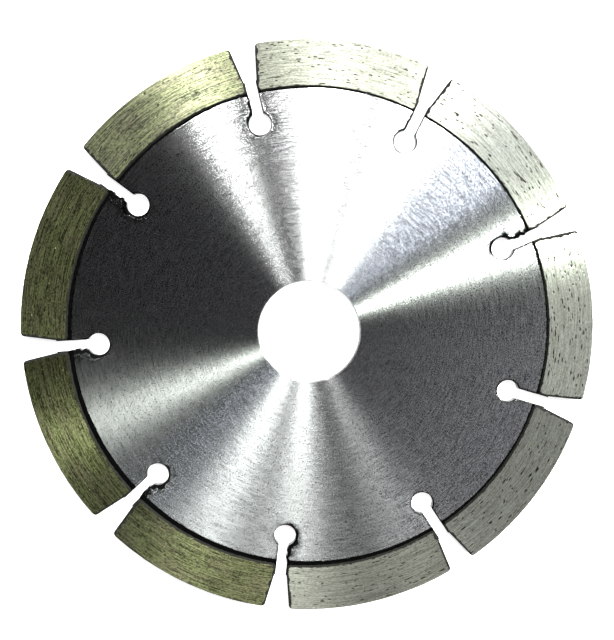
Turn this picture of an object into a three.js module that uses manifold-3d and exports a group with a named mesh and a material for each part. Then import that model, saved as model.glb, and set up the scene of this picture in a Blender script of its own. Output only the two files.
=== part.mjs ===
// Segmented diamond blade for a 125 mm angle grinder, in millimetres.
// The blade lies flat: +Z runs along the bore, and the origin is the centre of the bore,
// halfway through the steel core. One segment is centred on +Y.

import * as THREE from 'three';
import { mergeVertices } from 'three/addons/utils/BufferGeometryUtils.js';
import Module from 'manifold-3d';

const wasm = await Module();
wasm.setup();

// Driving dimensions.
const BLADE_DIAMETER = 125;
const BORE_DIAMETER = 22.23;
const SEGMENT_COUNT = 9;
const SEGMENT_HEIGHT = 9.8;
const SEGMENT_THICKNESS = 2.8;
const CORE_THICKNESS = 1.8;

// Keyhole slots between the segments: a straight slot that ends in a round relief hole.
const SLOT_WIDTH = 2.3;
const RELIEF_DIAMETER = 4.8;
const RELIEF_CIRCLE_RADIUS = 46;

// Ends of a segment: flush with the slot at the foot, then flared open towards the rim.
const SEGMENT_SETBACK = 0.1;
const FLUSH_LENGTH = 1.6;
const FLARE_ANGLE = THREE.MathUtils.degToRad(10.5);
const RIM_CORNER_RADIUS = 0.6;
const FOOT_CORNER_RADIUS = 0.5;
const SEGMENT_EDGE_BREAK = 0.15;

// Rim tongue of the core, which the segments are sintered around, and its keying notches.
const TONGUE_HEIGHT = 2.4;
const NOTCHES_PER_SEGMENT = 3;
const NOTCH_SPACING = 8.5;
const NOTCH_WIDTH = 2.6;
const NOTCH_DEPTH = 1.5;
const NOTCH_UNDERCUT = 0.35;
const BOND_GAP = 0.1;

// Facet sizes, as angles.
const RIM_STEP = THREE.MathUtils.degToRad(1.5);
const HOLE_STEP = THREE.MathUtils.degToRad(15);
const BORE_FACETS = 120;

// Worked out from the driving dimensions.
const bladeRadius = BLADE_DIAMETER / 2;
const footRadius = bladeRadius - SEGMENT_HEIGHT;
const tongueRadius = footRadius + TONGUE_HEIGHT;
const pitch = (2 * Math.PI) / SEGMENT_COUNT;
const halfPitch = pitch / 2;
const slotHalfWidth = SLOT_WIDTH / 2;
const reliefRadius = RELIEF_DIAMETER / 2;

const steel = new THREE.MeshStandardMaterial({ color: 0xa3a5a8, roughness: 0.35, metalness: 1 });
const diamondBond = new THREE.MeshStandardMaterial({ color: 0x85826b, roughness: 0.6, metalness: 0.8 });

// A point given by its angle from +Y, counter-clockwise, and its distance from the bore axis.
function polar(angle, radius) {
  return new THREE.Vector2(-radius * Math.sin(angle), radius * Math.cos(angle));
}

// Points along a circle about the bore axis, both ends included.
function rimArc(radius, fromAngle, toAngle) {
  const steps = Math.max(1, Math.ceil(Math.abs(toAngle - fromAngle) / RIM_STEP));
  const points = [];
  for (let i = 0; i <= steps; i += 1) {
    points.push(polar(THREE.MathUtils.lerp(fromAngle, toAngle, i / steps), radius));
  }
  return points;
}

// A point beside the slot at slotAngle: along the slot's centre line, then offset sideways.
function besideSlot(slotAngle, along, offset) {
  return new THREE.Vector2(-offset, along).rotateAround(new THREE.Vector2(), slotAngle);
}

// Rounds one corner of an outline with a curve that leaves both sides tangentially.
function roundedCorner(before, corner, after, radius) {
  const start = corner.clone().lerp(before, radius / corner.distanceTo(before));
  const end = corner.clone().lerp(after, radius / corner.distanceTo(after));
  return new THREE.QuadraticBezierCurve(start, corner, end).getPoints(4);
}

// Mirrors points about the Y axis and reverses them, so that an outline carries on round.
function mirrored(points) {
  return points.map((point) => new THREE.Vector2(-point.x, point.y)).reverse();
}

// Extrudes an outline to a thickness centred on the plane through the origin.
function plate(outline, thickness, holes, edgeBreak) {
  const shape = new THREE.Shape(outline);
  shape.holes = holes;
  const geometry = new THREE.ExtrudeGeometry(shape, {
    depth: thickness - 2 * edgeBreak,
    bevelEnabled: edgeBreak > 0,
    bevelThickness: edgeBreak,
    bevelSize: edgeBreak,
    bevelOffset: -edgeBreak,
    bevelSegments: 1,
  });
  geometry.translate(0, 0, edgeBreak - thickness / 2);
  return geometry;
}

// Turns a closed geometry into a solid that can be cut.
function toSolid(geometry) {
  const bare = geometry.clone();
  bare.deleteAttribute('normal');
  bare.deleteAttribute('uv');
  const merged = mergeVertices(bare, 1e-5);
  return new wasm.Manifold(new wasm.Mesh({
    numProp: 3,
    vertProperties: new Float32Array(merged.attributes.position.array),
    triVerts: new Uint32Array(merged.index.array),
  }));
}

// Turns a cut solid back into a geometry with flat-shaded facets.
function toGeometry(solid) {
  const mesh = solid.getMesh();
  const geometry = new THREE.BufferGeometry();
  geometry.setAttribute('position', new THREE.BufferAttribute(mesh.vertProperties, 3));
  geometry.setIndex(new THREE.BufferAttribute(mesh.triVerts, 1));
  const faceted = geometry.toNonIndexed();
  faceted.computeVertexNormals();
  return faceted;
}

// The tongue's outer edge over one segment, with its dovetail notches. A clearance grows the
// tongue outwards and narrows the notches, which gives the pocket that fits over it.
function tongueEdge(startAngle, endAngle, clearance) {
  const radius = tongueRadius + clearance;
  const floor = tongueRadius - NOTCH_DEPTH + clearance;
  const points = [];
  let angle = startAngle;
  for (let i = 0; i < NOTCHES_PER_SEGMENT; i += 1) {
    const middle = ((i - (NOTCHES_PER_SEGMENT - 1) / 2) * NOTCH_SPACING) / tongueRadius;
    const mouth = (NOTCH_WIDTH / 2 - clearance) / tongueRadius;
    const base = (NOTCH_WIDTH / 2 + NOTCH_UNDERCUT - clearance) / tongueRadius;
    points.push(...rimArc(radius, angle, middle - mouth));
    points.push(...rimArc(floor, middle - base, middle + base));
    angle = middle + mouth;
  }
  points.push(...rimArc(radius, angle, endAngle));
  return points;
}

// One keyhole slot, walked from the rim down one side, round the relief hole and back out.
function keyhole(slotAngle) {
  const neckAngle = Math.asin(slotHalfWidth / reliefRadius);
  const steps = Math.round((2 * Math.PI - 2 * neckAngle) / HOLE_STEP);
  const points = [];
  for (let i = 0; i <= steps; i += 1) {
    const turn = THREE.MathUtils.lerp(-neckAngle, neckAngle - 2 * Math.PI, i / steps);
    const along = RELIEF_CIRCLE_RADIUS + reliefRadius * Math.cos(turn);
    points.push(besideSlot(slotAngle, along, reliefRadius * Math.sin(turn)));
  }
  return points;
}

// The steel core: bore, keyhole slots, and the notched tongue that carries the segments.
function makeCore() {
  const slotEdgeAngle = halfPitch - Math.asin(slotHalfWidth / tongueRadius);
  const tongue = tongueEdge(-slotEdgeAngle, slotEdgeAngle, 0);
  const slot = keyhole(halfPitch);
  const outline = [];
  const centre = new THREE.Vector2();
  for (let i = 0; i < SEGMENT_COUNT; i += 1) {
    for (const point of [...tongue, ...slot]) {
      outline.push(point.clone().rotateAround(centre, i * pitch));
    }
  }
  const bore = new THREE.Path();
  bore.setFromPoints(new THREE.Path().absarc(0, 0, BORE_DIAMETER / 2, 0, 2 * Math.PI).getPoints(BORE_FACETS));
  return plate(outline, CORE_THICKNESS, [bore], 0);
}

// Distance along the slot's centre line at which a segment's flared end meets the rim circle.
function flareEnd(offset, flareStart) {
  const slope = Math.tan(FLARE_ANGLE);
  const intercept = offset - slope * flareStart;
  const square = 1 + slope * slope;
  const root = Math.sqrt(square * bladeRadius * bladeRadius - intercept * intercept);
  return (root - intercept * slope) / square;
}

// Outline of one diamond segment, centred on +Y.
function segmentOutline() {
  const offset = slotHalfWidth + SEGMENT_SETBACK;
  const flareStart = footRadius + FLUSH_LENGTH;
  const rimAlong = flareEnd(offset, flareStart);
  const rimOffset = offset + (rimAlong - flareStart) * Math.tan(FLARE_ANGLE);
  const foot = besideSlot(halfPitch, Math.sqrt(footRadius ** 2 - offset ** 2), -offset);
  const knee = besideSlot(halfPitch, flareStart, -offset);
  const rim = besideSlot(halfPitch, rimAlong, -rimOffset);
  const rimAngle = halfPitch - Math.asin(rimOffset / bladeRadius);
  const rimArcEnd = rimAngle - RIM_CORNER_RADIUS / bladeRadius;
  const footAngle = halfPitch - Math.asin(offset / footRadius);
  const footArcEnd = footAngle - FOOT_CORNER_RADIUS / footRadius;
  const end = [
    ...roundedCorner(polar(rimArcEnd, bladeRadius), rim, knee, RIM_CORNER_RADIUS),
    knee,
    ...roundedCorner(knee, foot, polar(footArcEnd, footRadius), FOOT_CORNER_RADIUS),
  ];
  const rimEdge = rimArc(bladeRadius, -rimArcEnd, rimArcEnd).slice(1, -1);
  const footEdge = rimArc(footRadius, footArcEnd, -footArcEnd).slice(1, -1);
  return [...rimEdge, ...end, ...footEdge, ...mirrored(end)];
}

// The space that the core's tongue takes inside a segment, open at both ends.
function makeTonguePocket() {
  const outline = [
    ...tongueEdge(-halfPitch, halfPitch, BOND_GAP),
    ...rimArc(footRadius - TONGUE_HEIGHT, halfPitch, -halfPitch),
  ];
  return plate(outline, CORE_THICKNESS + 2 * BOND_GAP, [], 0);
}

// One segment, sintered over the tongue on both faces and into its notches.
function makeSegment() {
  const blank = toSolid(plate(segmentOutline(), SEGMENT_THICKNESS, [], SEGMENT_EDGE_BREAK));
  return toGeometry(blank.subtract(toSolid(makeTonguePocket())));
}

const blade = new THREE.Group();

const core = new THREE.Mesh(makeCore(), steel);
core.name = 'steel_core';
blade.add(core);

const segmentGeometry = makeSegment();
for (let i = 0; i < SEGMENT_COUNT; i += 1) {
  const segment = new THREE.Mesh(segmentGeometry, diamondBond);
  segment.name = `diamond_segment_${i + 1}`;
  segment.rotation.z = i * pitch;
  blade.add(segment);
}

export default blade;
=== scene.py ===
# Studio view of a segmented diamond blade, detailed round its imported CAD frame.
# Shapes are worked out in millimetres and stored in metres. The blade lies flat: +Z is the bore axis.

import math
import random
from functools import cache

import bpy
import numpy as np
from mathutils import Matrix, Vector, noise
from mathutils.geometry import delaunay_2d_cdt


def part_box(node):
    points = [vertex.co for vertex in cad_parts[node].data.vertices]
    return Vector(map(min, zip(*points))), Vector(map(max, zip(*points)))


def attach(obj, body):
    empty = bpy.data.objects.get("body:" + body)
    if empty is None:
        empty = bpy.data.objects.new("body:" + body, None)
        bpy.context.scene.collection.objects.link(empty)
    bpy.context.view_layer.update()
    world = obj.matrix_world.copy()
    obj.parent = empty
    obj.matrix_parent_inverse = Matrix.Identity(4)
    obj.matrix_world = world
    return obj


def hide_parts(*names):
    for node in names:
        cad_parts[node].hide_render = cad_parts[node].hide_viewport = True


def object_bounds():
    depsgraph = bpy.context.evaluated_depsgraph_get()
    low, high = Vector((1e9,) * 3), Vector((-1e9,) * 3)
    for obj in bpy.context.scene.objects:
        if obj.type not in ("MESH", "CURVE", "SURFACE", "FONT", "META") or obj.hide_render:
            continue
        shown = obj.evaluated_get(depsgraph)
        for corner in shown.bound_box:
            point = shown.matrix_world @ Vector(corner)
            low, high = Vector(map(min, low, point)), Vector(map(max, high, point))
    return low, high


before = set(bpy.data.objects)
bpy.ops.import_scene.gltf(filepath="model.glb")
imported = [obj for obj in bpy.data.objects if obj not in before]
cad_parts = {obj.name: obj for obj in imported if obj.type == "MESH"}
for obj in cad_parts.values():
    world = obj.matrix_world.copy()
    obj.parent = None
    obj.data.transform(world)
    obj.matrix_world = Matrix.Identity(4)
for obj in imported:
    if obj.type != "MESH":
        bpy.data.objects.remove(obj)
cad_low, cad_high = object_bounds()

MM = 0.001
SEED = 7
GRIT_SEED = 107

# Sizes that the frame gives, in millimetres.
SEGMENT_COUNT = sum(name.startswith("diamond_segment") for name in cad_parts)
core_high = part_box("steel_core")[1]
TONGUE_RADIUS = core_high.x / MM
HALF_CORE = core_high.z / MM
BLADE_RADIUS = cad_high.y / MM
HALF_SEGMENT = cad_high.z / MM

# Sizes repeated from the design, in millimetres.
BORE_RADIUS = 22.23 / 2
SEGMENT_HEIGHT = 9.8
SLOT_HALF_WIDTH = 2.3 / 2
RELIEF_RADIUS = 4.8 / 2
RELIEF_CIRCLE_RADIUS = 46.0
SEGMENT_SETBACK = 0.1
FLUSH_LENGTH = 1.6
FLARE_SLOPE = math.tan(math.radians(10.5))
RIM_CORNER_RADIUS = 0.6
FOOT_CORNER_RADIUS = 0.5

FOOT_RADIUS = BLADE_RADIUS - SEGMENT_HEIGHT
PITCH = 2 * math.pi / SEGMENT_COUNT

# All lengths down to the materials are in millimetres. Every unevenness is a pair, its greatest
# amount and the size of its features, and every range is a pair, its least and its greatest value.
# A PLACE or PLACES_APART moves a noise elsewhere, so that it doesn't repeat another.

# Slots of the core, whose edges are rolled over by the punch.
FRONT_ROLL_DEPTH = 0.05
BACK_ROLL_DEPTH = 0.04
ROLL_WIDTH = 1.6
ROLL_UNEVENNESS = (0.7, 2.5)
WALL_TEARS = (0.035, 0.4)
# The wall's tears are shorter through the thickness than along the edge, by this factor.
WALL_TEAR_SQUASH = 3

# Burrs, on the side of a slot where the grinding leaves it, painted black as burnt metal and as painted
# shade of the rolled-over edge.
BURR_WIDTH = 0.19
BURR_DEPTH = 0.12
# How badly each slot's edge is torn, counter-clockwise from the slot next to +Y.
BURR_OF_SLOT = np.array([0.8, 1.9, 1.5, 1.9, 1.5, 0.1, 0.1, 1.4, 0.5])
BURR_SIDE_SOFTNESS = 0.4
BURR_FULLNESS = 0.7
BURR_LEAST_FULLNESS = 0.3
BURR_SWELLS = (0.9, 1.6)
BURR_SWELLS_PLACE = 9.0
BURR_TEETH = (0.7, 0.4)
# How many of its widths a burr gains at its fullest, and how many more beyond the hole.
BURR_GAIN = 2.0
BURR_GAIN_PAST_HOLE = 2.2
PAST_HOLE = RELIEF_CIRCLE_RADIUS + 1.0
PAST_HOLE_SOFTNESS = 0.3
# The distance from a slot is stored in widths of its burr, up to this many.
MOST_BURRS_AWAY = 20

# The burr also hangs into the slot, from just inside the hole's edge to the segments.
OVERHANG = 0.33
OVERHANG_START = RELIEF_CIRCLE_RADIUS + RELIEF_RADIUS - 0.3
OVERHANG_FULLNESS = 0.6
OVERHANG_TEETH = (1.5, 0.7)
OVERHANG_PLACES_APART = 10.0

# Bore, and the strip beside the segments that the grinding leaves low and dark. Its near-black is partly
# unground steel and partly painted shade of the segments' step, drawn narrowest towards the bearing below
# and widest opposite it.
BORE_CHAMFER = 0.2
BAND_INNER_RADIUS = 51.93
BAND_SHADE_WIDENING = 0.5
BAND_SHADE_BEARING = math.radians(55)
BAND_WANDER = (0.08, 7.0)
BAND_NIBBLES = (0.06, 0.8)
BAND_DEPTH = 0.08
BAND_STEP = 0.12
BAND_ROUGHNESS = (0.012, 0.35)
# The band's material runs on a little under the segments' feet.
BAND_TUCK = 0.15

# Points of the core's mesh: their spacing, and the distances from an edge of the rows beside it.
PLAIN_SPACING = 2.0
EDGE_SPACING = 0.25
FINE_SPACING = 0.2
TONGUE_POINTS = 30
PLAIN_ROWS = np.arange(BORE_RADIUS + 2, BAND_INNER_RADIUS - 1, 2.5)
BAND_ROWS = np.arange(BAND_INNER_RADIUS - 0.7, FOOT_RADIUS + 0.2, 0.1)
BORE_STEPS = (0.1, BORE_CHAMFER, 0.35, 0.6)
SLOT_STEPS = (0.05, 0.13, 0.24, 0.38, 0.56, 0.78, 1.05, 1.3, 1.6)
CLEAR_OF_SLOT = 0.04
CLEAR_OF_TONGUE_EDGE = 0.1
CORE_WALL_PARTS = (0.12, 0.35, 0.6, 0.85)
POINT_TOLERANCE = 1e-6

# Faces of the segments: broken edges, scoring, and the moulded skin left at the ends and the foot, painted
# near-black as skin and as painted shade along those edges.
FACE_EDGE_RADIUS = 0.14
END_EDGE_RADIUS = 0.42
EDGE_CHIPPING = (0.8, 0.9)
EDGE_PLACES_APART = 50
DEEPEST_WEAR = 1.3 * END_EDGE_RADIUS
FACE_DROP = 0.01
SCORING = (0.010, 1.0)
SCORES_OUTWARDS = 4
SCORES_ALONG = 0.15
SKIN_AND_SHADE_WIDTH = 0.55
SKIN_AND_SHADE_RAGGEDNESS = (0.4, 1.2)

# Pits torn out of the faces, each a bowl with a flat floor. Most are short and shallow, and the
# powers say how much so. They reach this share of a pitch to either side of the segment's middle.
PITS_PER_FACE = 150
PIT_DEPTH = 0.035
PIT_LEAST_DEPTH = 0.15
PIT_DEPTH_POWER = 1.5
PIT_HALF_LENGTH = (0.2, 0.4)
PIT_STRETCH = 0.6
PIT_STRETCH_POWER = 3
PIT_HALF_WIDTH = (0.08, 0.14)
PIT_FLOOR = 1.3
PIT_RADII = (FOOT_RADIUS + 0.1, BLADE_RADIUS - 0.2)
PIT_REACH = 0.46

# Sides of the segments, with a bead of bond along the foot where it meets the core's faces.
WALL_GRAIN = (1.0, 0.5)
WALL_GRAIN_DEPTH = 0.04
BEAD_HEIGHT = 0.22
BEAD_WIDTH = 0.16
BEAD_UNEVENNESS = 0.5
SEGMENT_WALL_PARTS = (0.04, 0.12, 0.2, 0.35, 0.5, 0.65, 0.8, 0.88, 0.96)

# Points of a segment's mesh: the spacing of its stations, closer together beside an edge. They are
# counted on a share of the pitch at the rim, then spread over the segment's true length.
BESIDE_EDGE = np.array([0, 0.03, 0.08, 0.16, 0.28, 0.42])
CLEAR_OF_EDGE = 0.55
STATION_SPACING = 0.2
ROW_SPACING = 0.13
COUNTED_SHARE = 0.9
FLARE_ROUNDS = 5

# Diamond crystals.
GRIT_PER_FACE = 150
GRIT_PER_RIM = 60
GRIT_PROUD = 0.05
GRIT_STANDING = (0.3, 0.95)
GRIT_SIZE = 0.36
GRIT_SIZES = (0.55, 1)
GRIT_RADII = (FOOT_RADIUS + 0.3, BLADE_RADIUS - 0.4)
GRIT_CLEAR_OF_END = 0.5
GRIT_RIM_REACH = 0.8
CRYSTAL_CORNERS = ((1, 0, 0), (-1, 0, 0), (0, 1, 0), (0, -1, 0), (0, 0, 1), (0, 0, -1))
CRYSTAL_FACES = ((0, 2, 4), (2, 1, 4), (1, 3, 4), (3, 0, 4), (2, 0, 5), (1, 2, 5), (3, 1, 5), (0, 3, 5))

# Angles in degrees between two faces, above which the edge between them is shaded sharp.
CORE_CREASE = 30
SEGMENT_CREASE = 50
CRYSTAL_CREASE = 10

# Each segment's greyness, lightness and roughness, counter-clockwise from the one on +Y. The greyness and
# lightness are painted light and shade: they follow how the lights fall round the blade.
SEGMENT_LIGHT_SHADE_AND_ROUGHNESS = (
    (0.85, 0.80, 0.50),
    (0.3, 1.30, 0.42),
    (0.0, 1.05, 0.34),
    (0.0, 0.47, 0.29),
    (0.05, 0.42, 0.29),
    (0.9, 0.67, 0.31),
    (1.0, 0.80, 0.34),
    (1.0, 1.35, 0.38),
    (1.0, 1.20, 0.50),
)

# Grains that run in circles about the bore: their features to a radian and to a millimetre
# outwards, then the detail and the roughness of the noise. They also change through the thickness.
DASHES = (120.0, 4.4, 3.0, 0.6)
LINES = (14.0, 7.5, 2.0, 0.6)
BAND_GRAIN = (60.0, 4.0, 4.0, 0.7)
SHEAR = (400.0, 1.5, 2.0, 0.6)
SCORES = (9.0, 5.2, 4.0, 0.7)
BOND_GRAIN = (110.0, 4.2, 2.0, 0.6)
BOND_CLOUDS = (9.0, 0.4, 2.0, 0.5)
SKIN_AND_SHADE_GRAIN = (120.0, 2.2, 4.0, 0.7)
RIM_GRAIN = (110.0, 2.0, 5.0, 0.75)
FEATURES_THROUGH = 7.3
# The range that most of a grain's values lie in.
GRAIN_RANGE = (0.3, 0.7)

# Darkest and lightest colour of each material.
STEEL_COLOURS = ((0.13, 0.13, 0.134, 1), (0.92, 0.92, 0.93, 1))
SOOT_AND_SHADE_COLOURS = ((0.0005, 0.0005, 0.0005, 1), (0.003, 0.003, 0.003, 1))
SHEAR_COLOURS = ((0.05, 0.05, 0.052, 1), (0.22, 0.22, 0.22, 1))
GREEN_BOND_COLOURS = ((0.04, 0.046, 0.016, 1), (0.66, 0.70, 0.33, 1))
BROWN_BOND_COLOURS = ((0.045, 0.04, 0.02, 1), (0.64, 0.62, 0.34, 1))
GREY_BOND_COLOURS = ((0.23, 0.23, 0.20, 1), (0.50, 0.50, 0.46, 1))
SKIN_AND_SHADE_COLOURS = ((0.003, 0.003, 0.003, 1), (0.016, 0.015, 0.012, 1))
RIM_COLOURS = ((0.08, 0.077, 0.055, 1), (0.30, 0.29, 0.21, 1))
DIAMOND_COLOURS = ((0.35, 0.38, 0.10, 1), (0.78, 0.80, 0.42, 1))
PAPER_COLOURS = ((0.86, 0.86, 0.86, 1), (0.9, 0.9, 0.9, 1))
# Single colours: painted shade of the dished steel beside a burr, the burr itself (burnt metal, partly
# painted shade of its rolled-over edge), and painted shade at the bottom of a pit.
DISH_SHADE_COLOUR = (0.03, 0.03, 0.03, 1)
BURR_AND_SHADE_COLOUR = (0.004, 0.004, 0.004, 1)
PIT_SHADE_COLOUR = (0.03, 0.028, 0.02, 1)

# A brushed surface spreads its highlights across the brushing, a quarter turn from its tangent.
BRUSHED = {"Anisotropic": 1.0, "Anisotropic_Rotation": 0.25}

# The camera looks down on the blade, and the picture's top lies at this angle from +X.
PICTURE_TOP = math.radians(96.73)
CAMERA_PLACE = Vector((-5.8, 13.5, 160.9)) * MM
CAMERA_TARGET = Vector((-0.8, 2.5, 0.9)) * MM
CAMERA_LENS = 41.3
# What the camera sees, and how far off the lights stand, in metres.
NEAREST_SEEN = 0.01
FARTHEST_SEEN = 10
LIGHT_DISTANCE = 0.8

# Each light's bearing from the picture's right and its elevation in degrees, its width and height in
# metres, its power in watts and its colour. The bearings set where the brushed steel lights up.
SOFTBOXES = {
    "key_left": (82, 52, (0.065, 0.3), 7.4, (0.95, 1.0, 0.95)),
    "key_right": (56.8, 52, (0.065, 0.3), 7.4, (0.95, 1.0, 0.95)),
    "side_right": (16.5, 40, (0.045, 0.3), 9.5, (0.93, 1.0, 0.91)),
    "side_left": (115, 52, (0.085, 0.2), 2.2, (0.97, 1.0, 0.96)),
    "soft_right": (42, 58, (0.2, 0.2), 1.3, (0.84, 0.90, 1.0)),
    "soft_middle": (70, 58, (0.06, 0.2), 0.45, (1, 1, 1)),
    "soft_left": (91, 58, (0.12, 0.2), 0.6, (1, 1, 1)),
    "fill": (325, 55, (0.6, 0.4), 0.42, (0.94, 0.96, 1.0)),
}

# The paper, in millimetres, which glows a little. The studio round it is pale along the horizon and
# dark overhead, and changes between two heights, given as sines of their elevation.
PAPER_HALF_WIDTH = 3000.0
PAPER_GLOW = 0.85
HORIZON_COLOUR = (0.5, 0.5, 0.5, 1)
OVERHEAD_COLOUR = (0.006, 0.006, 0.006, 1)
STUDIO_DARKENS = (0.08, 0.2)


# ---------------------------------------------------------------- shapes that repeat

def make_mesh(name, points, faces, crease):
    """Makes a smooth-shaded mesh object from points in millimetres."""
    mesh = bpy.data.meshes.new(name)
    mesh.from_pydata([tuple(p * MM for p in point) for point in points], [], faces)
    mesh.polygons.foreach_set("use_smooth", [True] * len(mesh.polygons))
    mesh.set_sharp_from_angle(angle=math.radians(crease))
    mesh.validate()
    made = bpy.data.objects.new(name, mesh)
    bpy.context.collection.objects.link(made)
    return made


def add_attribute(thing, name, values):
    """Stores a number at every vertex of an object's mesh, for its materials to read."""
    added = thing.data.attributes.new(name, "FLOAT", "POINT")
    added.data.foreach_set("value", values)


def uneven(unevenness, x, y, z=0.0):
    """Smooth noise at some places, of the amount and with the size of features that a pair gives."""
    amount, size = unevenness
    places = np.column_stack(np.broadcast_arrays(x, y, z))
    return amount * np.array([noise.noise(Vector(place) / size) for place in places])


def soft_step(value, softness):
    """Rises smoothly from 0 to 1 where the value passes zero."""
    return 1 / (1 + np.exp(-value / softness))


def polar(angle, radius):
    """Points given by their angle from +Y, counter-clockwise, and their radius."""
    return np.column_stack([-radius * np.sin(angle), radius * np.cos(angle)])


def ring(radius, spacing):
    """Evenly spaced points round a circle about the bore axis."""
    count = round(2 * math.pi * radius / spacing)
    return polar(np.arange(count) * 2 * math.pi / count, radius)


def closed_edges(first, count):
    """Index pairs of a closed loop of points."""
    return [(first + i, first + (i + 1) % count) for i in range(count)]


def wall_faces(loop_rows):
    """Quads between rows of a closed loop, each row a list of vertex numbers."""
    faces = []
    for upper, lower in zip(loop_rows, loop_rows[1:]):
        for i, corner in enumerate(upper):
            j = (i + 1) % len(upper)
            faces.append((int(corner), int(lower[i]), int(lower[j]), int(upper[j])))
    return faces


# ---------------------------------------------------------------- steel core

def slot_coordinates(x, y):
    """Distances along and across the nearest slot's centre line, and that slot's number."""
    angle = np.arctan2(-x, y)
    number = np.floor(angle / PITCH)
    slot_angle = (number + 0.5) * PITCH
    along = -x * np.sin(slot_angle) + y * np.cos(slot_angle)
    across = -x * np.cos(slot_angle) - y * np.sin(slot_angle)
    return along, across, (number % SEGMENT_COUNT).astype(int)


def overhang(along, number):
    """How far the burr on a slot's counter-clockwise wall hangs into the slot."""
    window = np.sin(np.pi * np.clip((along - OVERHANG_START) / (FOOT_RADIUS - OVERHANG_START), 0, 1))
    teeth = uneven(OVERHANG_TEETH, along, OVERHANG_PLACES_APART * number)
    ragged = np.clip(OVERHANG_FULLNESS + teeth, 0, 1)
    return OVERHANG * BURR_OF_SLOT[number] * ragged * window ** 0.5


def slot_distance(x, y):
    """Distance from the edge of the nearest keyhole slot, negative inside it."""
    along, across, number = slot_coordinates(x, y)
    to_hole = np.hypot(along - RELIEF_CIRCLE_RADIUS, across) - RELIEF_RADIUS
    beyond_hole = along > RELIEF_CIRCLE_RADIUS
    narrowed = np.where(across > 0, overhang(along, number), 0)
    to_slot = np.where(beyond_hole, np.abs(across) - SLOT_HALF_WIDTH + narrowed, np.inf)
    return np.minimum(to_hole, to_slot)


def keyhole(number, grown, spacing):
    """Outline of a keyhole slot grown outwards, from the rim round the relief hole and back."""
    slot_angle = (number + 0.5) * PITCH
    half_width = SLOT_HALF_WIDTH + grown
    radius = RELIEF_RADIUS + grown
    neck = math.asin(half_width / radius)
    turns = np.linspace(-neck, neck - 2 * math.pi, round((2 * math.pi - 2 * neck) * radius / spacing))
    hole = np.column_stack([RELIEF_CIRCLE_RADIUS + radius * np.cos(turns), radius * np.sin(turns)])
    mouth = math.sqrt(TONGUE_RADIUS ** 2 - half_width ** 2)
    along = np.linspace(mouth, hole[0, 0], round((mouth - hole[0, 0]) / spacing))[:-1]
    side = np.column_stack([along, np.full(len(along), -half_width)])
    burred_side = np.column_stack([along, half_width - overhang(along, np.full(len(along), number))])
    outline = np.vstack([side, hole, burred_side[::-1]])
    turn = np.array([[-math.sin(slot_angle), math.cos(slot_angle)],
                     [-math.cos(slot_angle), -math.sin(slot_angle)]])
    return outline @ turn


def core_outline():
    """The core's outer edge: keyhole slots joined by the tongue's edge, hidden in the segments."""
    loop = []
    tongue_half_angle = PITCH / 2 - math.asin(SLOT_HALF_WIDTH / TONGUE_RADIUS)
    for i in range(SEGMENT_COUNT):
        middle = i * PITCH
        angles = np.linspace(middle - tongue_half_angle, middle + tongue_half_angle, TONGUE_POINTS)
        loop.append(polar(angles, TONGUE_RADIUS)[1:-1])
        loop.append(keyhole(i, 0, FINE_SPACING))
    return np.vstack(loop)


def band_edge(x, y):
    """Radius at which the dark strip starts: where the grinding stops short of the segments, wandering a
    little, and pulled in on one side to paint the step's shade wider there.
    """
    # Painted shade: the strip is drawn wider on one side, where the step's shade falls wider.
    shade_widening = BAND_SHADE_WIDENING * np.cos(np.arctan2(y, x) - BAND_SHADE_BEARING)
    return BAND_INNER_RADIUS + shade_widening + uneven(BAND_WANDER, x, y) + uneven(BAND_NIBBLES, x, y)


def burr_width(x, y):
    """Width of the torn edge of a slot, painted black as burnt metal and as the shade of its rolled edge:
    ragged on the side where the grinding leaves it.
    """
    along, across, number = slot_coordinates(x, y)
    leaving = soft_step(across, BURR_SIDE_SOFTNESS)
    fullness = BURR_FULLNESS + uneven(BURR_SWELLS, x, y, BURR_SWELLS_PLACE) + uneven(BURR_TEETH, x, y)
    ragged = np.clip(fullness, BURR_LEAST_FULLNESS, 1)
    past_hole = soft_step(along - PAST_HOLE, PAST_HOLE_SOFTNESS)
    gained = BURR_GAIN * ragged + BURR_GAIN_PAST_HOLE * ragged * past_hole
    return BURR_WIDTH * (1 + BURR_OF_SLOT[number] * leaving * gained)


def core_face_height(x, y, roll_depth):
    """Height of a core face: rolled over at the slots, chamfered at the bore, low in the band."""
    radius = np.hypot(x, y)
    distance = np.clip(slot_distance(x, y), 0, None)
    nearness = np.clip(1 - distance / ROLL_WIDTH, 0, 1)
    torn = np.clip(1 - distance / burr_width(x, y), 0, 1)
    roll = roll_depth * (1 + uneven(ROLL_UNEVENNESS, x, y)) * nearness ** 2 + BURR_DEPTH * torn
    chamfer = np.clip(BORE_RADIUS + BORE_CHAMFER - radius, 0, BORE_CHAMFER)
    band = np.clip((radius - band_edge(x, y)) / BAND_STEP, 0, 1)
    return HALF_CORE - roll - chamfer - band * (BAND_DEPTH + uneven(BAND_ROUGHNESS, x, y))


def core_points(outline):
    """Points of the core's face, its two edges first, then more wherever the surface bends."""
    bore = ring(BORE_RADIUS, EDGE_SPACING)
    loose = [ring(BORE_RADIUS + step, EDGE_SPACING) for step in BORE_STEPS]
    loose += [ring(radius, PLAIN_SPACING) for radius in PLAIN_ROWS]
    loose += [ring(radius, FINE_SPACING) for radius in BAND_ROWS]
    for grown in SLOT_STEPS:
        loose += [keyhole(i, grown, EDGE_SPACING) for i in range(SEGMENT_COUNT)]
    loose = np.vstack(loose)
    clear_of_slots = slot_distance(*loose.T) > CLEAR_OF_SLOT
    inside = clear_of_slots & (np.hypot(*loose.T) < TONGUE_RADIUS - CLEAR_OF_TONGUE_EDGE)
    return np.vstack([outline, bore, loose[inside]]), len(bore)


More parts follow.
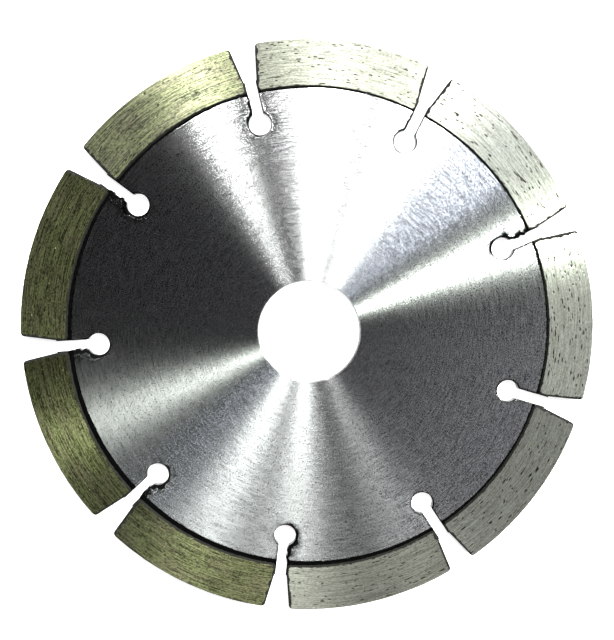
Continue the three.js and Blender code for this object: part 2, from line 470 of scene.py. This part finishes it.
def triangulate_core():
    """Points and triangles of a core face, and the vertex numbers round its rim and round its bore."""
    outline = core_outline()
    points, bore_count = core_points(outline)
    ranges = ((0, len(outline)), (len(outline), bore_count))
    edges = [edge for first, count in ranges for edge in closed_edges(first, count)]
    found = delaunay_2d_cdt([Vector(p) for p in points], edges, [], 0, POINT_TOLERANCE)
    flat = np.array([tuple(p) for p in found[0]])
    triangles = np.array(found[2])
    number_of = {source: i for i, sources in enumerate(found[3]) for source in sources}
    loops = [[number_of[first + i] for i in range(count)] for first, count in ranges]
    middles = flat[triangles].mean(axis=1)
    radii = np.hypot(*middles.T)
    kept = (slot_distance(*middles.T) > 0) & (radii > BORE_RADIUS) & (radii < TONGUE_RADIUS)
    return flat, triangles[kept], loops


def core_wall(edge, front_z, back_z):
    """Rows of points down the sheared wall along one edge of the core."""
    rows = []
    for part in CORE_WALL_PARTS:
        z = front_z * (1 - part) + back_z * part
        torn = uneven(WALL_TEARS, edge[:, 0], edge[:, 1], WALL_TEAR_SQUASH * z)
        sideways = edge * (1 + torn / np.hypot(*edge.T))[:, None]
        rows.append(np.column_stack([sideways, z]))
    return rows


def core_face_materials(flat, triangles):
    """Material number of each triangle of a core face: 0 ground steel, 1 band."""
    middles = flat[triangles].mean(axis=1)
    radii = np.hypot(*middles.T)
    in_band = (radii > band_edge(*middles.T)) & (radii < FOOT_RADIUS + BAND_TUCK)
    return in_band.astype(int).tolist()


def make_core():
    """The steel core as one closed mesh: 0 ground face, 1 band, 2 punched wall."""
    flat, triangles, loops = triangulate_core()
    front_z = core_face_height(*flat.T, FRONT_ROLL_DEPTH)
    back_z = -core_face_height(*flat.T, BACK_ROLL_DEPTH)
    vertices = [np.column_stack([flat, front_z]), np.column_stack([flat, back_z])]
    faces = triangles.tolist() + (triangles[:, ::-1] + len(flat)).tolist()
    material_of = core_face_materials(flat, triangles) * 2

    total = 2 * len(flat)
    for loop in loops:
        wall = core_wall(flat[loop], front_z[loop], back_z[loop])
        rows = [range(total + i * len(loop), total + (i + 1) * len(loop)) for i in range(len(wall))]
        walls = wall_faces([loop, *rows, [len(flat) + i for i in loop]])
        vertices += wall
        faces += walls
        material_of += [2] * len(walls)
        total += len(loop) * len(wall)

    core = make_mesh("brushed_core", np.vstack(vertices), faces, CORE_CREASE)
    for material in (ground_steel(), band_steel_and_painted_shade(), punched_steel()):
        core.data.materials.append(material)
    core.data.polygons.foreach_set("material_index", material_of)
    burrs_away = slot_distance(*flat.T) / burr_width(*flat.T)
    burrs_away = np.concatenate([burrs_away, burrs_away, np.zeros(total - 2 * len(flat))])
    add_attribute(core, "burrs_away", np.clip(burrs_away, 0, MOST_BURRS_AWAY))
    return core


# ---------------------------------------------------------------- diamond segments

def end_half_angle(radius):
    """Half the angle that a segment spans at a radius, with its corners rounded off."""
    flush_offset = SLOT_HALF_WIDTH + SEGMENT_SETBACK
    offset = flush_offset
    # The offset from the slot and the distance along it depend on each other, and settle in turns.
    for _ in range(FLARE_ROUNDS):
        along = np.sqrt(radius ** 2 - offset ** 2)
        offset = flush_offset + FLARE_SLOPE * np.clip(along - FOOT_RADIUS - FLUSH_LENGTH, 0, None)
    half_angle = PITCH / 2 - np.arcsin(offset / radius)
    for edge, corner in ((FOOT_RADIUS, FOOT_CORNER_RADIUS), (BLADE_RADIUS, RIM_CORNER_RADIUS)):
        short = np.clip(corner - np.abs(radius - edge), 0, corner)
        half_angle = half_angle - (corner - np.sqrt(corner ** 2 - short ** 2)) / radius
    return half_angle


def graded(length, spacing):
    """Stations along a length, evenly spaced but closer together at both ends."""
    middle = np.linspace(CLEAR_OF_EDGE, length - CLEAR_OF_EDGE, round(length / spacing))
    return np.concatenate([BESIDE_EDGE, middle, length - BESIDE_EDGE[::-1]])


def segment_layout():
    """Radius of each point of a face and its angle from the segment's middle, in rows from the foot."""
    stations = graded(PITCH * BLADE_RADIUS * COUNTED_SHARE, STATION_SPACING)
    fractions = 2 * stations / stations[-1] - 1
    radii = FOOT_RADIUS + graded(SEGMENT_HEIGHT, ROW_SPACING)
    radius, fraction = np.meshgrid(radii, fractions, indexing="ij")
    return radius, fraction * end_half_angle(radius)


def segment_pits(rng, angle, radius):
    """Depth of the torn-out pits over one segment face, from 0 to 1."""
    depth = np.zeros_like(angle)
    for _ in range(PITS_PER_FACE):
        pit_radius = rng.uniform(*PIT_RADII)
        pit_angle = rng.uniform(-1, 1) * PIT_REACH * PITCH
        half_length = rng.uniform(*PIT_HALF_LENGTH) + PIT_STRETCH * rng.random() ** PIT_STRETCH_POWER
        half_width = rng.uniform(*PIT_HALF_WIDTH)
        along = (angle - pit_angle) * radius / half_length
        across = (radius - pit_radius) / half_width
        deepest = PIT_LEAST_DEPTH + (1 - PIT_LEAST_DEPTH) * rng.random() ** PIT_DEPTH_POWER
        depth = np.maximum(depth, deepest * np.clip(PIT_FLOOR - along ** 2 - across ** 2, 0, 1))
    return depth.ravel()


def segment_face(rng, angle, radius, middle_angle):
    """Heights and pit depths of one ground segment face."""
    x, y = polar(angle + middle_angle, radius).T.reshape(2, -1)
    to_end = ((end_half_angle(radius) - np.abs(angle)) * radius).ravel()
    to_side = np.minimum(radius - FOOT_RADIUS, BLADE_RADIUS - radius).ravel()
    chipped = 1 + uneven(EDGE_CHIPPING, x, y, rng.random() * EDGE_PLACES_APART)
    wear = np.zeros(angle.size)
    for away, edge_radius in ((to_side, FACE_EDGE_RADIUS * chipped), (to_end, END_EDGE_RADIUS)):
        short = np.clip(edge_radius - away, 0, edge_radius)
        wear += edge_radius - np.sqrt(edge_radius ** 2 - short ** 2)
    wear = np.minimum(wear, DEEPEST_WEAR)
    pits = segment_pits(rng, angle, radius)
    scoring = uneven(SCORING, SCORES_OUTWARDS * np.hypot(x, y), SCORES_ALONG * (angle * radius).ravel())
    return HALF_SEGMENT - GRIT_PROUD - wear + scoring - PIT_DEPTH * pits - FACE_DROP, pits


def skin_and_shade_cells(angle, radius, flat):
    """Which cells of a face are painted near-black as moulded skin and edge shade: those beside its ends
    and its foot.
    """
    to_end = (end_half_angle(radius) - np.abs(angle)) * radius
    to_end = np.minimum(to_end, (radius - FOOT_RADIUS) * END_EDGE_RADIUS / FACE_EDGE_RADIUS)
    width = SKIN_AND_SHADE_WIDTH + uneven(SKIN_AND_SHADE_RAGGEDNESS, *flat.T).reshape(radius.shape)[1:, 1:].ravel()
    return (to_end[:-1, :-1] + to_end[1:, 1:]).ravel() / 2 < width


def segment_border(grid):
    """Vertex numbers once round a face, and the side of the segment that each lies on."""
    foot = grid[0, ::-1]
    first_end = grid[1:-1, 0]
    rim = grid[-1, :]
    second_end = grid[-2:0:-1, -1]
    loop = np.concatenate([foot, first_end, rim, second_end])
    side_of = np.repeat(["foot", "end", "rim", "end"],
                        [len(foot), len(first_end), len(rim), len(second_end)])
    return loop, side_of


def segment_wall(edge, side_of, front_z, back_z):
    """Rows of points down a segment's sides."""
    rows = []
    for part in SEGMENT_WALL_PARTS:
        z = front_z * (1 - part) + back_z * part
        grain = uneven(WALL_GRAIN, edge[:, 0], edge[:, 1], z)
        bead = BEAD_HEIGHT * np.exp(-(((np.abs(z) - HALF_CORE) / BEAD_WIDTH) ** 2))
        bead = bead * (1 + BEAD_UNEVENNESS * grain)
        inward = np.where(side_of == "foot", bead, WALL_GRAIN_DEPTH * (1 + grain))
        inward = inward + np.where(side_of == "rim", GRIT_PROUD, 0)
        rows.append(np.column_stack([edge * (1 - inward / np.hypot(*edge.T))[:, None], z]))
    return rows


def lay_out_round_bore(piece, middle_angle):
    """Adds a UV map that runs round the bore in u and outwards in v, for the brushing to follow."""
    corners = np.array([piece.data.vertices[loop.vertex_index].co[:2] for loop in piece.data.loops]) / MM
    angle = np.arctan2(-corners[:, 0], corners[:, 1]) - middle_angle
    angle = (angle + math.pi) % (2 * math.pi) - math.pi
    layout = np.column_stack([angle * BLADE_RADIUS, np.hypot(*corners.T)]) / BLADE_RADIUS
    layer = piece.data.uv_layers.new(name="round_bore")
    layer.data.foreach_set("uv", layout.ravel())


def segment_mesh(number, middle_angle):
    """The closed mesh of a segment, which carries its pits, and the material number of each face."""
    rng = random.Random(SEED + number)
    radius, angle = segment_layout()
    flat = polar((angle + middle_angle).ravel(), radius.ravel())
    front, front_pits = segment_face(rng, angle, radius, middle_angle)
    back, back_pits = segment_face(rng, angle, radius, middle_angle)
    grid = np.arange(radius.size).reshape(radius.shape)
    quads = np.stack([grid[:-1, :-1], grid[:-1, 1:], grid[1:, 1:], grid[1:, :-1]], axis=-1).reshape(-1, 4)
    faces = quads[:, ::-1].tolist() + (quads + grid.size).tolist()
    material_of = skin_and_shade_cells(angle, radius, flat).astype(int).tolist() * 2

    loop, side_of = segment_border(grid)
    wall = segment_wall(flat[loop], side_of, front[loop], -back[loop])
    total = 2 * grid.size
    rows = [range(total + i * len(loop), total + (i + 1) * len(loop)) for i in range(len(wall))]
    faces += wall_faces([loop, *rows, loop + grid.size])
    material_of += np.where(side_of == "rim", 2, 1).tolist() * (len(wall) + 1)
    vertices = np.vstack([np.column_stack([flat, front]), np.column_stack([flat, -back]), *wall])

    segment = make_mesh(f"sintered_segment_{number}", vertices, faces, SEGMENT_CREASE)
    add_attribute(segment, "pit", np.concatenate([front_pits, back_pits, np.zeros(len(vertices) - total)]))
    return segment, material_of


def make_segment(number):
    """One diamond segment: 0 ground face, 1 moulded skin with painted edge shade, 2 rim."""
    middle_angle = (number - 1) * PITCH
    segment, material_of = segment_mesh(number, middle_angle)
    # Greyness and lightness paint the light and shade that fall on each segment.
    for name, value in zip(("painted_greyness", "painted_lightness", "roughness"), SEGMENT_LIGHT_SHADE_AND_ROUGHNESS[number - 1]):
        add_attribute(segment, name, np.full(len(segment.data.vertices), value))
    lay_out_round_bore(segment, middle_angle)
    for material in (segment_face_material(), skin_and_shade_material(), segment_rim_material()):
        segment.data.materials.append(material)
    segment.data.polygons.foreach_set("material_index", material_of)
    return segment


def crystal_centre(rng, middle_angle, deep, on_rim, side):
    """A random place for a crystal, its centre at a depth below the proudest point of the grit."""
    radius = BLADE_RADIUS - deep - GRIT_PROUD if on_rim else rng.uniform(*GRIT_RADII)
    reach = float(end_half_angle(np.array(radius))) - GRIT_CLEAR_OF_END / radius
    angle = middle_angle + rng.uniform(-reach, reach)
    if on_rim:
        z = rng.uniform(-GRIT_RIM_REACH, GRIT_RIM_REACH) * HALF_SEGMENT
    else:
        z = side * (HALF_SEGMENT - GRIT_PROUD - deep)
    return Vector((-radius * math.sin(angle), radius * math.cos(angle), z))


def make_grit(number):
    """Diamond crystals that stand just proud of a segment's faces and rim."""
    rng = random.Random(GRIT_SEED + number)
    middle_angle = (number - 1) * PITCH
    points = []
    faces = []
    for i in range(2 * GRIT_PER_FACE + GRIT_PER_RIM):
        size = GRIT_SIZE * rng.uniform(*GRIT_SIZES) / 2
        spin = noise.random_unit_vector().to_track_quat("Z", "Y").to_matrix()
        deep = size - GRIT_PROUD * rng.uniform(*GRIT_STANDING)
        side = 1 if i % 2 else -1
        centre = crystal_centre(rng, middle_angle, deep, i >= 2 * GRIT_PER_FACE, side)
        first = len(points)
        points += [centre + spin @ (Vector(c) * size) for c in CRYSTAL_CORNERS]
        faces += [tuple(first + v for v in f) for f in CRYSTAL_FACES]
    grit = make_mesh(f"diamond_grit_{number}", points, faces, CRYSTAL_CREASE)
    grit.data.materials.append(diamond_material())
    return grit


# ---------------------------------------------------------------- shader nodes

def connect(tree, socket, value):
    """Links an output to a socket, or sets the socket's own value."""
    if isinstance(value, bpy.types.NodeSocket):
        tree.links.new(value, socket)
    else:
        socket.default_value = value


def node(tree, kind, settings=None, **inputs):
    """Adds a shader node. An input is a value, or another node's output to link to it."""
    made = tree.nodes.new(kind)
    for name, value in (settings or {}).items():
        setattr(made, name, value)
    for name, value in inputs.items():
        connect(tree, made.inputs[name.replace("_", " ")], value)
    return made


def maths(tree, operation, first, second=0.0):
    """The result of a Math node on two values or outputs."""
    made = tree.nodes.new("ShaderNodeMath")
    made.operation = operation
    connect(tree, made.inputs[0], first)
    connect(tree, made.inputs[1], second)
    return made.outputs[0]


def remap(tree, value, low_to_high, first_to_last):
    """Maps one range to another, clamped. The second range may run downwards."""
    made = node(tree, "ShaderNodeMapRange", Value=value)
    names = ("From Min", "From Max", "To Min", "To Max")
    for name, number in zip(names, (*low_to_high, *first_to_last)):
        made.inputs[name].default_value = number
    return made.outputs["Result"]


def blend(tree, amount, first, second):
    """Mixes two colours by an amount from 0 to 1."""
    made = tree.nodes.new("ShaderNodeMix")
    made.data_type = "RGBA"
    for socket, value in ((0, amount), (6, first), (7, second)):
        connect(tree, made.inputs[socket], value)
    return made.outputs[2]


def shade(tree, value, low_to_high, colours):
    """Runs from the first colour to the second as a value goes through a range."""
    return blend(tree, remap(tree, value, low_to_high, (0.0, 1.0)), *colours)


def stored(tree, name):
    """A number that the mesh stores at its vertices."""
    return node(tree, "ShaderNodeAttribute", {"attribute_name": name}).outputs["Fac"]


def grain_round_bore(tree, grain):
    """Noise that runs in circles about the bore axis."""
    per_radian, per_mm, detail, roughness = grain
    place = node(tree, "ShaderNodeTexCoord").outputs["Object"]
    apart = node(tree, "ShaderNodeSeparateXYZ", Vector=place)
    x, y, z = (maths(tree, "DIVIDE", out, MM) for out in apart.outputs)
    squares = maths(tree, "ADD", maths(tree, "MULTIPLY", x, x), maths(tree, "MULTIPLY", y, y))
    radius = maths(tree, "SQRT", squares)
    round_x = maths(tree, "MULTIPLY", maths(tree, "DIVIDE", x, radius), per_radian)
    round_y = maths(tree, "MULTIPLY", maths(tree, "DIVIDE", y, radius), per_radian)
    through = maths(tree, "MULTIPLY", z, FEATURES_THROUGH)
    outward = maths(tree, "ADD", maths(tree, "MULTIPLY", radius, per_mm), through)
    turned = node(tree, "ShaderNodeCombineXYZ", X=round_x, Y=round_y, Z=outward).outputs[0]
    made = node(tree, "ShaderNodeTexNoise", Vector=turned, Scale=1.0, Detail=detail, Roughness=roughness)
    return made.outputs[0]


def plain_noise(tree, size, detail):
    """Noise with features of a size in millimetres, the same in all directions."""
    place = node(tree, "ShaderNodeTexCoord").outputs["Object"]
    made = node(tree, "ShaderNodeTexNoise", Vector=place, Scale=1.0 / (size * MM), Detail=detail)
    return made.outputs[0]


def bump(tree, height, distance):
    """The normal output of a Bump node. The distance is in millimetres."""
    return node(tree, "ShaderNodeBump", Height=height, Distance=distance * MM).outputs[0]


def new_material(name, **constants):
    """A node material with some constants set on its shader. Returns it, its tree and the shader."""
    material = bpy.data.materials.new(name)
    material.use_nodes = True
    shader = material.node_tree.nodes["Principled BSDF"]
    for socket, value in constants.items():
        shader.inputs[socket.replace("_", " ")].default_value = value
    return material, material.node_tree, shader


def vary(tree, shader, **varying):
    """Links what varies over the surface to the shader's sockets."""
    for socket, output in varying.items():
        tree.links.new(output, shader.inputs[socket.replace("_", " ")])


# ---------------------------------------------------------------- materials

@cache
def ground_steel():
    """Bright steel, brushed in circles about the bore. Where a slot's edge is torn it is black, partly
    burnt metal and partly painted shade of the rolled edge, with painted shade of the dished steel beside
    it.
    """
    material, tree, shader = new_material("ground_steel", Metallic=1.0, **BRUSHED)
    dashes = grain_round_bore(tree, DASHES)
    lines = grain_round_bore(tree, LINES)
    brushing = maths(tree, "ADD", dashes, maths(tree, "MULTIPLY", lines, 0.7))
    # The distance from the slot is counted in widths of its burr.
    burrs_away = stored(tree, "burrs_away")
    # Black of the torn edge: burnt metal, and painted shade of its rolled-over edge.
    torn = remap(tree, burrs_away, (0.8, 1.2), (1.0, 0.0))
    # Painted shade of the steel that dishes down beside the burr.
    dish_shade = remap(tree, burrs_away, (0.9, 2.6), (0.7, 0.0))
    ruffled = remap(tree, burrs_away, (1.0, 2.0), (2.0, 0.14))

    bright = shade(tree, brushing, (0.66, 1.04), STEEL_COLOURS)
    dish_shaded = blend(tree, dish_shade, bright, DISH_SHADE_COLOUR)
    polish = remap(tree, dashes, GRAIN_RANGE, (0.29, 0.22))
    roughness = maths(tree, "MAXIMUM", polish, maths(tree, "MULTIPLY", torn, 0.7))
    raised = maths(tree, "MULTIPLY", dashes, ruffled)
    relief = maths(tree, "ADD", maths(tree, "MULTIPLY", lines, 0.3), raised)
    tangent = node(tree, "ShaderNodeTangent", {"direction_type": "RADIAL", "axis": "Z"}).outputs[0]
    vary(tree, shader, Base_Color=blend(tree, torn, dish_shaded, BURR_AND_SHADE_COLOUR), Roughness=roughness,
         Normal=bump(tree, relief, 0.03), Tangent=tangent)
    return material


@cache
def band_steel_and_painted_shade():
    """The strip that the brush can't reach beside the segments: rough, and near-black partly with soot and
    partly with painted shade of the segments' step.
    """
    material, tree, shader = new_material("band_steel_and_painted_shade", Specular_IOR_Level=0.0)
    band_grain = grain_round_bore(tree, BAND_GRAIN)
    # Near-black: soot, and painted shade of the segments' step.
    vary(tree, shader, Base_Color=shade(tree, band_grain, (0.35, 0.75), SOOT_AND_SHADE_COLOURS),
         Roughness=remap(tree, band_grain, GRAIN_RANGE, (0.85, 0.6)), Normal=bump(tree, band_grain, 0.05))
    return material


@cache
def punched_steel():
    """Sheared wall of the bore and slots, scored across the thickness."""
    material, tree, shader = new_material("punched_steel", Metallic=0.9)
    scores = grain_round_bore(tree, SHEAR)
    vary(tree, shader, Base_Color=shade(tree, scores, (0.35, 0.7), SHEAR_COLOURS),
         Roughness=remap(tree, scores, GRAIN_RANGE, (0.55, 0.4)), Normal=bump(tree, scores, 0.03))
    return material


def bond_colour(tree, scores, painted_greyness):
    """Colour of the ground bond of iron, cobalt and bronze: olive with brown clouds, turned grey as far as
    the segment's painted greyness says, which paints how the light falls on it.
    """
    grains = grain_round_bore(tree, BOND_GRAIN)
    clouds = grain_round_bore(tree, BOND_CLOUDS)
    texture = maths(tree, "ADD", scores, maths(tree, "MULTIPLY", grains, 0.6))
    green, brown, grey = (shade(tree, texture, (0.67, 0.95), colours)
                          for colours in (GREEN_BOND_COLOURS, BROWN_BOND_COLOURS, GREY_BOND_COLOURS))
    olive = shade(tree, clouds, (0.4, 0.62), (green, brown))
    return blend(tree, painted_greyness, olive, grey)


@cache
def segment_face_material():
    """Ground bond, scored in circles, with painted shade in its pits, in each segment's painted light and
    shade and its own polish.
    """
    material, tree, shader = new_material("ground_bond", Specular_IOR_Level=0.2, **BRUSHED)
    scores = grain_round_bore(tree, SCORES)
    # Each segment's greyness and lightness paint how the light falls on it.
    painted_greyness = stored(tree, "painted_greyness")
    bond = node(tree, "ShaderNodeVectorMath", {"operation": "SCALE"},
                Vector=bond_colour(tree, scores, painted_greyness), Scale=stored(tree, "painted_lightness")).outputs[0]
    # The painted shade in the pits is a little paler in the olive bond than in the grey.
    pit = remap(tree, stored(tree, "pit"), (0.08, 0.4), (0.0, 1.0))
    # Painted shade, deepest where a pit is deepest.
    pit_shade = maths(tree, "MULTIPLY", pit, remap(tree, painted_greyness, (0.0, 1.0), (0.8, 1.0)))
    polish = remap(tree, scores, GRAIN_RANGE, (0.04, -0.04))
    tangent = node(tree, "ShaderNodeTangent", {"direction_type": "UV_MAP", "uv_map": "round_bore"})
    vary(tree, shader, Base_Color=blend(tree, pit_shade, bond, PIT_SHADE_COLOUR),
         Metallic=remap(tree, painted_greyness, (0.0, 1.0), (0.96, 0.84)),
         Roughness=maths(tree, "ADD", stored(tree, "roughness"), polish),
         Normal=bump(tree, scores, 0.015), Tangent=tangent.outputs[0])
    return material


@cache
def skin_and_shade_material():
    """Skin of the moulded ends and foot, dark with graphite from the mould and near-black with painted
    shade along the segment's edges.
    """
    material, tree, shader = new_material("moulded_skin_and_shade", Specular_IOR_Level=0.15)
    grain = grain_round_bore(tree, SKIN_AND_SHADE_GRAIN)
    # Near-black: the skin's own dark, and painted shade along the segment's edges.
    vary(tree, shader, Base_Color=shade(tree, grain, (0.35, 0.7), SKIN_AND_SHADE_COLOURS),
         Roughness=remap(tree, grain, GRAIN_RANGE, (0.8, 0.55)), Normal=bump(tree, grain, 0.05))
    return material


@cache
def segment_rim_material():
    """Dressed rim, opened so that the grit stands out of a grey-green bond."""
    material, tree, shader = new_material("dressed_rim", Metallic=0.75)
    grain = grain_round_bore(tree, RIM_GRAIN)
    vary(tree, shader, Base_Color=shade(tree, grain, (0.35, 0.7), RIM_COLOURS),
         Roughness=remap(tree, grain, GRAIN_RANGE, (0.7, 0.45)), Normal=bump(tree, grain, 0.08))
    return material


@cache
def diamond_material():
    """Yellow-green synthetic diamond, glossy, each crystal a slightly different shade."""
    material, tree, shader = new_material("synthetic_diamond", IOR=2.0)
    clouds = plain_noise(tree, 0.6, 1.0)
    vary(tree, shader, Base_Color=shade(tree, clouds, (0.35, 0.65), DIAMOND_COLOURS),
         Roughness=remap(tree, clouds, GRAIN_RANGE, (0.08, 0.25)))
    return material


@cache
def paper_material():
    """Plain white paper under the blade, with a faint tooth."""
    glow = {"Emission_Color": (1, 1, 1, 1), "Emission_Strength": PAPER_GLOW}
    material, tree, shader = new_material("white_paper", Roughness=0.9, **glow)
    tooth = plain_noise(tree, 0.5, 3.0)
    vary(tree, shader, Base_Color=blend(tree, tooth, *PAPER_COLOURS), Normal=bump(tree, tooth, 0.01))
    return material


# ---------------------------------------------------------------- stage

def make_floor():
    """A sheet of white paper that the blade lies on."""
    half = PAPER_HALF_WIDTH
    z = cad_low.z / MM
    corners = [(-half, -half, z), (half, -half, z), (half, half, z), (-half, half, z)]
    floor = make_mesh("paper_floor", corners, [(0, 1, 2, 3)], CORE_CREASE)
    floor.data.materials.append(paper_material())
    return floor


def look(thing, place, target, up):
    """Puts a camera or light at a place, turned towards a target."""
    forward = (target - place).normalized()
    right = forward.cross(up).normalized()
    turn = Matrix((right, right.cross(forward), -forward)).transposed()
    thing.matrix_world = Matrix.Translation(place) @ turn.to_4x4()


def make_camera():
    """The camera, almost straight above the blade."""
    camera = bpy.data.objects.new("camera", bpy.data.cameras.new("camera"))
    bpy.context.collection.objects.link(camera)
    camera.data.lens = CAMERA_LENS
    camera.data.clip_start = NEAREST_SEEN
    camera.data.clip_end = FARTHEST_SEEN
    look(camera, CAMERA_PLACE, CAMERA_TARGET, Vector((math.cos(PICTURE_TOP), math.sin(PICTURE_TOP), 0)))
    bpy.context.scene.camera = camera


def make_softbox(name, bearing, elevation, size, power, colour):
    """A rectangular studio light aimed at the blade."""
    data = bpy.data.lights.new(name, "AREA")
    data.shape = "RECTANGLE"
    data.size, data.size_y = size
    data.energy = power
    data.color = colour
    light = bpy.data.objects.new(name, data)
    bpy.context.collection.objects.link(light)
    round_z = math.radians(bearing) + PICTURE_TOP - math.pi / 2
    up_angle = math.radians(elevation)
    level = math.cos(up_angle)
    direction = Vector((level * math.cos(round_z), level * math.sin(round_z), math.sin(up_angle)))
    look(light, direction * LIGHT_DISTANCE, Vector(), Vector((0, 0, 1)))


def make_world():
    """A dim studio, pale along the horizon and dark overhead."""
    world = bpy.data.worlds.new("studio")
    world.use_nodes = True
    tree = world.node_tree
    place = node(tree, "ShaderNodeTexCoord").outputs["Generated"]
    height = node(tree, "ShaderNodeSeparateXYZ", Vector=place).outputs[2]
    colour = shade(tree, height, STUDIO_DARKENS, (HORIZON_COLOUR, OVERHEAD_COLOUR))
    tree.links.new(colour, tree.nodes["Background"].inputs["Color"])
    bpy.context.scene.world = world


def main():
    noise.seed_set(SEED)
    bpy.context.scene.view_settings.view_transform = "Standard"
    make_camera()
    for name, softbox in SOFTBOXES.items():
        make_softbox(name, *softbox)
    make_world()
    make_floor()

    core = make_core()
    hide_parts("steel_core")
    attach(core, "root")
    for number in range(1, SEGMENT_COUNT + 1):
        segment = make_segment(number)
        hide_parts(f"diamond_segment_{number}")
        grit = make_grit(number)
        for piece in (segment, grit):
            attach(piece, "root")


main()
